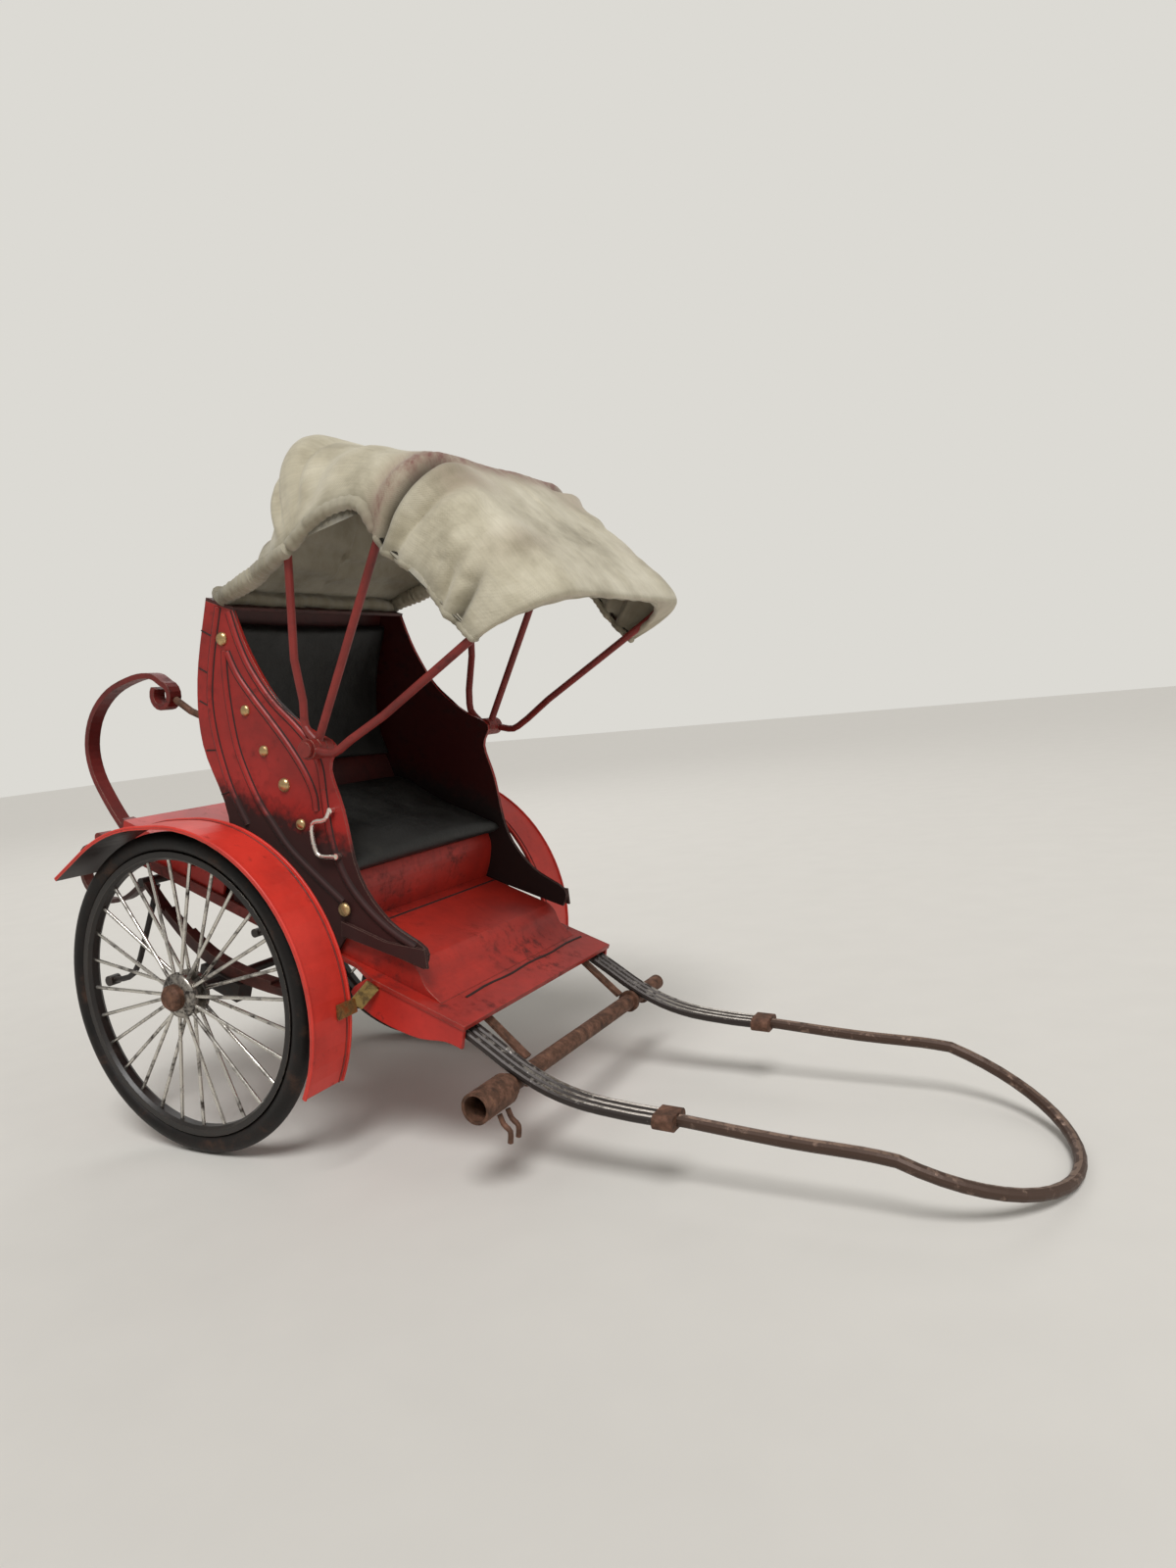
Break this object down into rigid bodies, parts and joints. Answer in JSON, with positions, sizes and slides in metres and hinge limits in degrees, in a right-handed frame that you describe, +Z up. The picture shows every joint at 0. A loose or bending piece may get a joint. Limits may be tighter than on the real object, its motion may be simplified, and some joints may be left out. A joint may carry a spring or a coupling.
{
  "type": "pulled rickshaw model",
  "caption": "Hand-made metal model of a pulled rickshaw with wire wheels, a folding canvas hood, padded seat, curved springs and a shaft loop that rests on the table.",
  "frame": {"origin": "on the table, midway between the foremost point of the shaft loop and the hindmost point of the rear stands, on the middle plane", "axes": "+X forward along the shafts, +Y to the left, +Z up"},
  "size_m": [0.3066, 0.129, 0.2087],
  "materials": {
    "tyre": "worn dark rubber-black paint with coppery wear",
    "rim_black": "worn black paint",
    "spoke_wire": "bright wire with dark patina",
    "hub_metal": "worn",
    "rusty_iron": "brown rust",
    "black_iron": "worn black paint",
    "red_paint": "bright red paint with chips",
    "dark_red_paint": "darker worn red paint",
    "bow_red": "thin red paint",
    "brass_strap": "aged",
    "shaft_steel": "gunmetal, worn bright along the top",
    "bronze_rod": "brown bronze paint, worn",
    "canvas": "khaki canvas with stains",
    "black_leather": "black satin leather",
    "bare_wire": "bright wire"
  },
  "bodies": {
    "carriage": {"axle": "black_iron", "axle_blocks": "black_iron", "leaf_springs": "black_iron", "spring_hangers": "black_iron", "scroll_straps": "dark_red_paint", "rear_tie_bar": "black_iron", "rear_stands": "black_iron", "frame_rails": "dark_red_paint", "floor_plate": "red_paint", "side_skirts": "red_paint", "footwell_pan": "red_paint", "seat_riser": "red_paint", "seat_board": "dark_red_paint", "left_side_panel": "red_paint", "right_side_panel": "red_paint", "back_panel": "dark_red_paint", "top_rail": "dark_red_paint", "rear_box": "red_paint", "c_springs": "dark_red_paint", "spring_links": "rusty_iron", "left_fender": "red_paint", "right_fender": "red_paint", "fender_straps": "brass_strap", "fender_stays": "dark_red_paint", "shaft_tubes": "shaft_steel", "shaft_clamps": "bronze_rod", "shaft_loop": "bronze_rod", "crossbar": "rusty_iron", "crossbar_sleeve": "rusty_iron", "sleeve_prongs": "rusty_iron", "crossbar_saddles": "rusty_iron", "struts": "rusty_iron", "pivot_pins": "dark_red_paint", "seat_cushion": "black_leather", "back_cushion": "black_leather", "grab_handles": "bare_wire"},
    "left_wheel": {"left_tyre": "tyre", "left_rim": "rim_black", "left_spokes": "spoke_wire", "left_hub": "hub_metal", "left_hub_cap": "rusty_iron"},
    "right_wheel": {"right_tyre": "tyre", "right_rim": "rim_black", "right_spokes": "spoke_wire", "right_hub": "hub_metal", "right_hub_cap": "rusty_iron"},
    "rear_hoop": {"rear_bow": "bow_red", "hood_curtain": "canvas"},
    "middle_hoop": {"middle_bow": "bow_red", "hood_roof_rear": "canvas"},
    "front_hoop": {"front_bow": "bow_red", "hood_roof_front": "canvas"}
  },
  "joints": [
    {"name": "left_wheel_spin", "type": "hinge", "parent": "carriage", "child": "left_wheel", "pos_m": [-0.09065, 0.0543, 0.05], "axis": [0, 1, 0], "continuous": true},
    {"name": "right_wheel_spin", "type": "hinge", "parent": "carriage", "child": "right_wheel", "pos_m": [-0.09065, -0.0543, 0.05], "axis": [0, 1, 0], "continuous": true},
    {"name": "hood_fold", "type": "hinge", "parent": "carriage", "child": "rear_hoop", "pos_m": [-0.03566, 0, 0.12069], "axis": [0, -1, 0], "range_deg": [0, 60.8], "deforming": ["hood_curtain"]},
    {"name": "middle_hoop_fold", "type": "hinge", "parent": "rear_hoop", "child": "middle_hoop", "pos_m": [-0.03566, 0, 0.12069], "axis": [0, -1, 0], "range_deg": [0, 22.3], "deforming": ["hood_roof_rear"]},
    {"name": "front_hoop_fold", "type": "hinge", "parent": "middle_hoop", "child": "front_hoop", "pos_m": [-0.03566, 0, 0.12069], "axis": [0, -1, 0], "range_deg": [0, 29.2], "deforming": ["hood_roof_front"]}
  ],
  "couplings": [
    {"joint": "middle_hoop_fold", "follows": "hood_fold", "ratio": 0.36677},
    {"joint": "front_hoop_fold", "follows": "hood_fold", "ratio": 0.48026}
  ]
}
